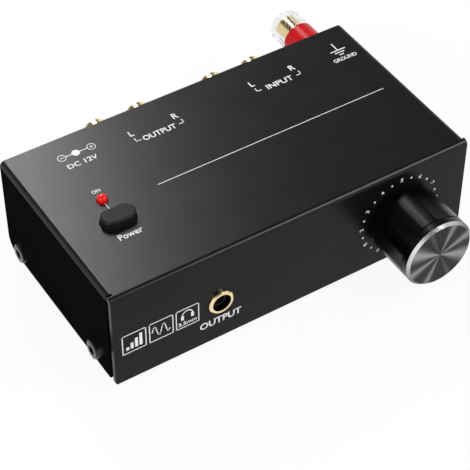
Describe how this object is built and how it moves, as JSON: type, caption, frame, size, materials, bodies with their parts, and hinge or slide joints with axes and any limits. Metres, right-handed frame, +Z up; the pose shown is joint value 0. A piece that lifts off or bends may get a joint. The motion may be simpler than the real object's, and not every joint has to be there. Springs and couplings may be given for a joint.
{
  "type": "phono preamp",
  "caption": "Small folded-metal phono preamp with a turned volume knob, power button, headphone output, phono sockets and a ground terminal.",
  "frame": {"origin": "centre of the outline at the underside of the feet", "axes": "+X to the right seen from the front, +Y from the knob towards the rear sockets, +Z up"},
  "size_m": [0.116, 0.0962, 0.0359],
  "materials": {
    "black_case": "satin powder-coated steel sheet",
    "black_knob": "black anodised, spun face and bright bevel",
    "black_screw": "black oxide steel",
    "zinc_steel": "zinc plated",
    "rubber": "matte",
    "green_board": "solder mask",
    "black_plastic": "moulded",
    "white_plastic": "moulded",
    "red_plastic": "moulded, glossy",
    "red_lens": "tinted diffuse resin",
    "clear_plastic": "clear moulded acrylic",
    "gold": "gold plated, polished",
    "tin": "tinned leads",
    "alloy_can": "bare drawn can",
    "blue_film": "dipped film block",
    "tan_resistor": "lacquered",
    "green_wire": "insulated"
  },
  "bodies": {
    "preamp_case": {"top_cover": "black_case", "base_tray": "black_case", "side_screws": "black_screw", "rubber_feet": "rubber", "board_standoffs": "zinc_steel", "board_screws": "zinc_steel", "circuit_board": "green_board", "potentiometer_frame": "zinc_steel", "potentiometer_housing": "black_plastic", "potentiometer_pins": "tin", "potentiometer_washer": "zinc_steel", "potentiometer_nut": "zinc_steel", "switch_housing": "black_plastic", "power_led": "red_lens", "led_leads": "tin", "led_spacer": "black_plastic", "jack_ring": "gold", "jack_housing": "black_plastic", "jack_contacts": "tin", "output_socket_block": "black_plastic", "input_socket_block": "black_plastic", "socket_barrels": "gold", "left_socket_insulators": "white_plastic", "right_socket_insulators": "red_plastic", "socket_center_contacts": "gold", "socket_block_screws": "black_screw", "power_inlet_housing": "black_plastic", "power_inlet_pin": "tin", "ground_post_collar": "red_plastic", "ground_post_bush": "black_plastic", "ground_lug": "tin", "ground_wire": "green_wire", "ground_lock_nut": "gold", "ground_post_stud": "gold", "amplifier_chips": "black_plastic", "chip_legs": "tin", "small_capacitors": "alloy_can", "large_capacitors": "alloy_can", "film_capacitors": "blue_film", "resistors": "tan_resistor", "regulator_body": "black_plastic", "regulator_tab": "alloy_can", "regulator_legs": "tin"},
    "volume_control": {"volume_knob": "black_knob", "knob_grub_screw": "black_screw", "potentiometer_shaft": "zinc_steel"},
    "power_push": {"power_button": "black_plastic", "switch_plunger": "white_plastic"},
    "ground_clamp": {"ground_clamp_washer": "gold"},
    "ground_nut": {"thumb_nut_core": "gold", "thumb_nut_ring": "red_plastic", "thumb_nut_shell": "clear_plastic"}
  },
  "joints": [
    {"name": "volume_turn", "type": "hinge", "parent": "preamp_case", "child": "volume_control", "pos_m": [0.03348, -0.0297, 0.01748], "axis": [0, 1, 0], "range_deg": [-150, 150]},
    {"name": "power_press", "type": "slide", "parent": "preamp_case", "child": "power_push", "axis": [0, 0, -1], "range_m": [0, 0.002], "stiffness_N_per_m": 400, "springref_m": -0.002},
    {"name": "ground_clamp_slide", "type": "slide", "parent": "preamp_case", "child": "ground_clamp", "axis": [0, 1, 0], "range_m": [0, 0.0042]},
    {"name": "ground_nut_turn", "type": "hinge", "parent": "ground_clamp", "child": "ground_nut", "pos_m": [0.0473, 0.03285, 0.0248], "axis": [0, 1, 0], "range_deg": [0, 2160]}
  ],
  "couplings": [
    {"joint": "ground_nut_turn", "follows": "ground_clamp_slide", "rad_per_m": 8976}
  ]
}
